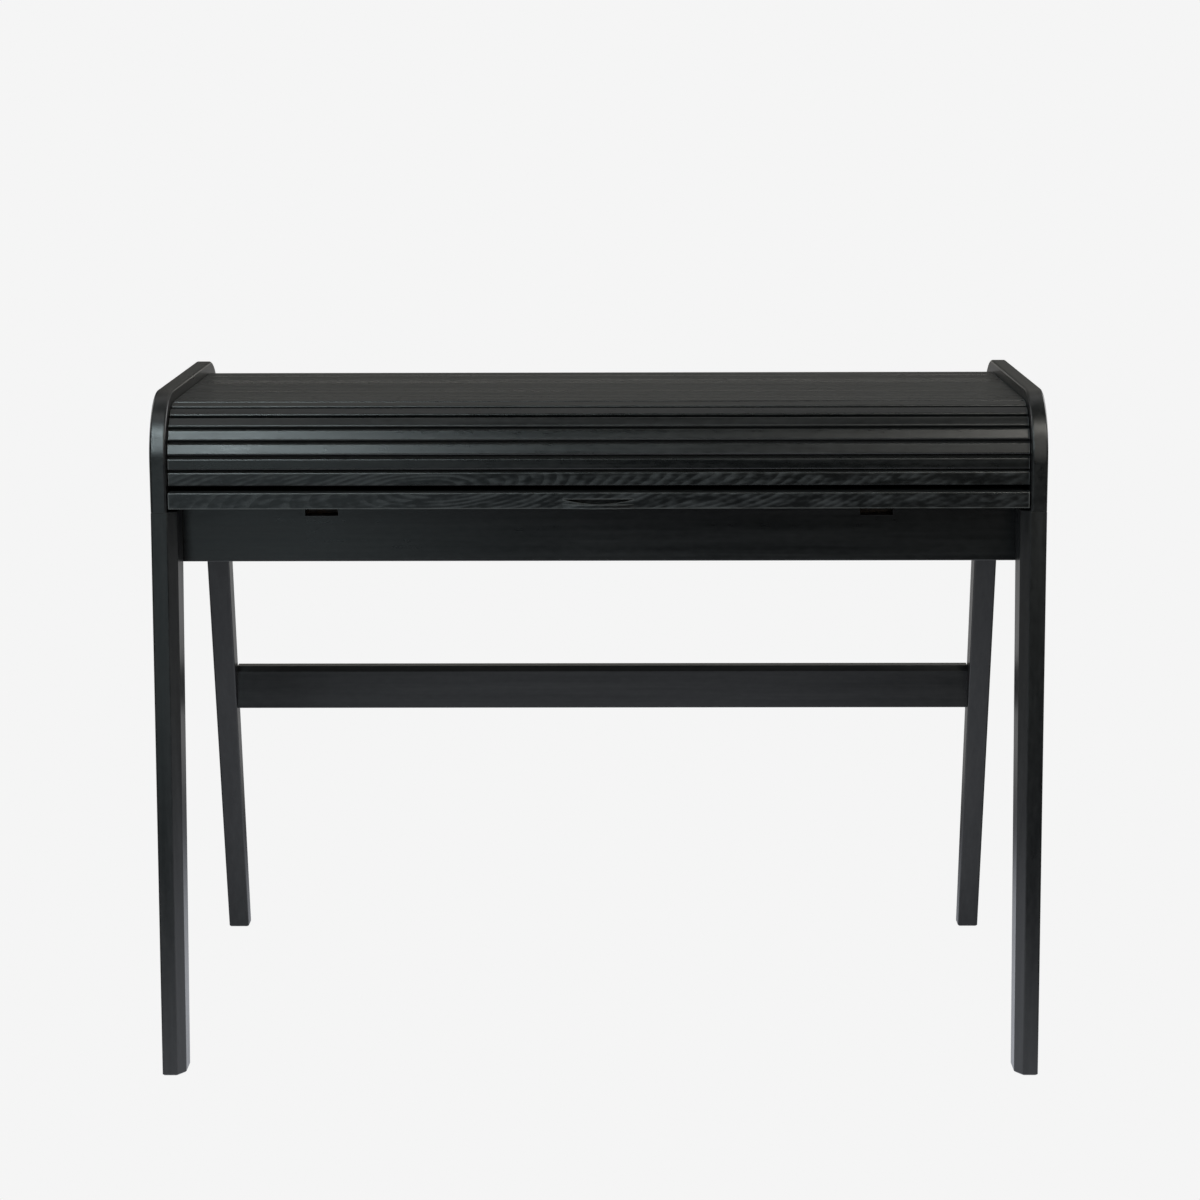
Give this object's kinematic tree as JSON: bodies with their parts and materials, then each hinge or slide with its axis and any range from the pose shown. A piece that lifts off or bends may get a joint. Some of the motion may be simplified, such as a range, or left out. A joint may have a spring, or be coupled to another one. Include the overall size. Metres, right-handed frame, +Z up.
{
  "type": "tambour desk",
  "caption": "Writing desk with a slatted roll front, a pull-out writing top on runners, and splayed legs joined by a rear stretcher.",
  "frame": {"origin": "middle of the desk's footprint, on the floor", "axes": "+Z up, +X along the desk to the right seen from the front, the front faces -Y"},
  "size_m": [1.1, 0.7, 0.855],
  "materials": {
    "case_ash": "black-stained open-pored ash, satin lacquer",
    "slat_ash": "black-stained ash slats, satin lacquer",
    "inner_ash": "black-stained ash veneer, satin",
    "runner_wood": "plain hardwood, oiled",
    "backing_cloth": "woven black canvas",
    "glide_plastic": "matt nylon"
  },
  "bodies": {
    "case": {"side_panel_left": "case_ash", "side_panel_right": "case_ash", "front_leg_left": "case_ash", "front_leg_right": "case_ash", "rear_leg_left": "case_ash", "rear_leg_right": "case_ash", "foot_glides": "glide_plastic", "front_apron": "case_ash", "side_rail_left": "case_ash", "side_rail_right": "case_ash", "stretcher": "case_ash", "base_board": "inner_ash", "rear_rail": "case_ash", "runner_guide_left": "runner_wood", "runner_guide_right": "runner_wood", "back_board": "case_ash", "inner_back": "inner_ash", "pigeonhole_floor": "inner_ash", "pigeonhole_top": "inner_ash", "divider_1": "inner_ash", "divider_2": "inner_ash", "leg_dowels": "runner_wood"},
    "roll_flat": {"slat_08": "slat_ash", "slat_09": "slat_ash", "slat_10": "slat_ash", "slat_11": "slat_ash", "slat_12": "slat_ash", "slat_13": "slat_ash", "slat_14": "slat_ash", "slat_15": "slat_ash", "slat_16": "slat_ash", "tambour_cloth": "backing_cloth"},
    "roll_lead": {"pull_rail": "slat_ash", "slat_02": "slat_ash"},
    "roll_front_curve_1": {"slat_03": "slat_ash"},
    "roll_front_curve_2": {"slat_04": "slat_ash"},
    "roll_front_curve_3": {"slat_05": "slat_ash"},
    "roll_front_curve_4": {"slat_06": "slat_ash"},
    "roll_front_curve_5": {"slat_07": "slat_ash"},
    "roll_turn_1": {"slat_17": "slat_ash"},
    "roll_turn_2": {"slat_18": "slat_ash"},
    "roll_turn_3": {"slat_19": "slat_ash"},
    "roll_turn_4": {"slat_20": "slat_ash"},
    "roll_turn_5": {"slat_21": "slat_ash"},
    "roll_sweep": {"slat_22": "slat_ash", "slat_23": "slat_ash", "slat_24": "slat_ash", "slat_25": "slat_ash", "slat_26": "slat_ash", "slat_27": "slat_ash"},
    "roll_tail_1": {"slat_28": "slat_ash"},
    "roll_tail_2": {"slat_29": "slat_ash"},
    "roll_tail_3": {"slat_30": "slat_ash"},
    "roll_tail_4": {"slat_31": "slat_ash"},
    "roll_tail_5": {"slat_32": "slat_ash"},
    "pull_out_top": {"desktop_board": "case_ash", "runner_left": "runner_wood", "runner_right": "runner_wood", "top_stops": "runner_wood"}
  },
  "joints": [
    {"name": "tambour_slide", "type": "slide", "parent": "case", "child": "roll_flat", "axis": [0, 1, 0], "range_m": [0, 0.187], "deforming": ["tambour_cloth"]},
    {"name": "lead_swing", "type": "hinge", "parent": "case", "child": "roll_lead", "pos_m": [0, -0.18854, 0.72754], "axis": [-1, 0, 0], "range_deg": [0, 90.02]},
    {"name": "front_curve_1_swing", "type": "hinge", "parent": "case", "child": "roll_front_curve_1", "pos_m": [0, -0.18004, 0.70357], "axis": [-1, 0, 0], "range_deg": [0, 75.02]},
    {"name": "front_curve_2_swing", "type": "hinge", "parent": "case", "child": "roll_front_curve_2", "pos_m": [0, -0.17154, 0.66698], "axis": [-1, 0, 0], "range_deg": [0, 60.02]},
    {"name": "front_curve_3_swing", "type": "hinge", "parent": "case", "child": "roll_front_curve_3", "pos_m": [0, -0.16304, 0.60587], "axis": [-1, 0, 0], "range_deg": [0, 45.02]},
    {"name": "front_curve_4_swing", "type": "hinge", "parent": "case", "child": "roll_front_curve_4", "pos_m": [0, -0.15454, 0.48453], "axis": [-1, 0, 0], "range_deg": [0, 30.02]},
    {"name": "front_curve_5_swing", "type": "hinge", "parent": "case", "child": "roll_front_curve_5", "pos_m": [0, -0.14604, 0.1244], "axis": [-1, 0, 0], "range_deg": [0, 15.02]},
    {"name": "turn_1_swing", "type": "hinge", "parent": "case", "child": "roll_turn_1", "pos_m": [0, 0.00696, 0.1244], "axis": [-1, 0, 0], "range_deg": [0, 15.02]},
    {"name": "turn_2_swing", "type": "hinge", "parent": "case", "child": "roll_turn_2", "pos_m": [0, 0.01546, 0.48453], "axis": [-1, 0, 0], "range_deg": [0, 30.02]},
    {"name": "turn_3_swing", "type": "hinge", "parent": "case", "child": "roll_turn_3", "pos_m": [0, 0.02396, 0.60587], "axis": [-1, 0, 0], "range_deg": [0, 45.02]},
    {"name": "turn_4_swing", "type": "hinge", "parent": "case", "child": "roll_turn_4", "pos_m": [0, 0.03246, 0.66698], "axis": [-1, 0, 0], "range_deg": [0, 60.02]},
    {"name": "turn_5_swing", "type": "hinge", "parent": "case", "child": "roll_turn_5", "pos_m": [0, 0.04096, 0.70357], "axis": [-1, 0, 0], "range_deg": [0, 75.02]},
    {"name": "sweep_swing", "type": "hinge", "parent": "case", "child": "roll_sweep", "pos_m": [0, 0.04946, 0.72754], "axis": [-1, 0, 0], "range_deg": [0, 90.02]},
    {"name": "tail_1_swing", "type": "hinge", "parent": "case", "child": "roll_tail_1", "pos_m": [0, 0.0255, 0.71904], "axis": [-1, 0, 0], "range_deg": [0, 75.02]},
    {"name": "tail_2_swing", "type": "hinge", "parent": "case", "child": "roll_tail_2", "pos_m": [0, -0.01109, 0.71054], "axis": [-1, 0, 0], "range_deg": [0, 60.02]},
    {"name": "tail_3_swing", "type": "hinge", "parent": "case", "child": "roll_tail_3", "pos_m": [0, -0.0722, 0.70204], "axis": [-1, 0, 0], "range_deg": [0, 45.02]},
    {"name": "tail_4_swing", "type": "hinge", "parent": "case", "child": "roll_tail_4", "pos_m": [0, -0.19354, 0.69354], "axis": [-1, 0, 0], "range_deg": [0, 30.02]},
    {"name": "tail_5_swing", "type": "hinge", "parent": "case", "child": "roll_tail_5", "pos_m": [0, -0.55368, 0.68504], "axis": [-1, 0, 0], "range_deg": [0, 15.02]},
    {"name": "top_slide", "type": "slide", "parent": "case", "child": "pull_out_top", "axis": [0, -1, 0], "range_m": [0, 0.12]}
  ],
  "couplings": [
    {"joint": "lead_swing", "follows": "tambour_slide", "rad_per_m": 8.4},
    {"joint": "front_curve_1_swing", "follows": "tambour_slide", "rad_per_m": 7},
    {"joint": "front_curve_2_swing", "follows": "tambour_slide", "rad_per_m": 5.6},
    {"joint": "front_curve_3_swing", "follows": "tambour_slide", "rad_per_m": 4.2},
    {"joint": "front_curve_4_swing", "follows": "tambour_slide", "rad_per_m": 2.8},
    {"joint": "front_curve_5_swing", "follows": "tambour_slide", "rad_per_m": 1.4},
    {"joint": "turn_1_swing", "follows": "tambour_slide", "rad_per_m": 1.4},
    {"joint": "turn_2_swing", "follows": "tambour_slide", "rad_per_m": 2.8},
    {"joint": "turn_3_swing", "follows": "tambour_slide", "rad_per_m": 4.2},
    {"joint": "turn_4_swing", "follows": "tambour_slide", "rad_per_m": 5.6},
    {"joint": "turn_5_swing", "follows": "tambour_slide", "rad_per_m": 7},
    {"joint": "sweep_swing", "follows": "tambour_slide", "rad_per_m": 8.4},
    {"joint": "tail_1_swing", "follows": "tambour_slide", "rad_per_m": 7},
    {"joint": "tail_2_swing", "follows": "tambour_slide", "rad_per_m": 5.6},
    {"joint": "tail_3_swing", "follows": "tambour_slide", "rad_per_m": 4.2},
    {"joint": "tail_4_swing", "follows": "tambour_slide", "rad_per_m": 2.8},
    {"joint": "tail_5_swing", "follows": "tambour_slide", "rad_per_m": 1.4}
  ]
}
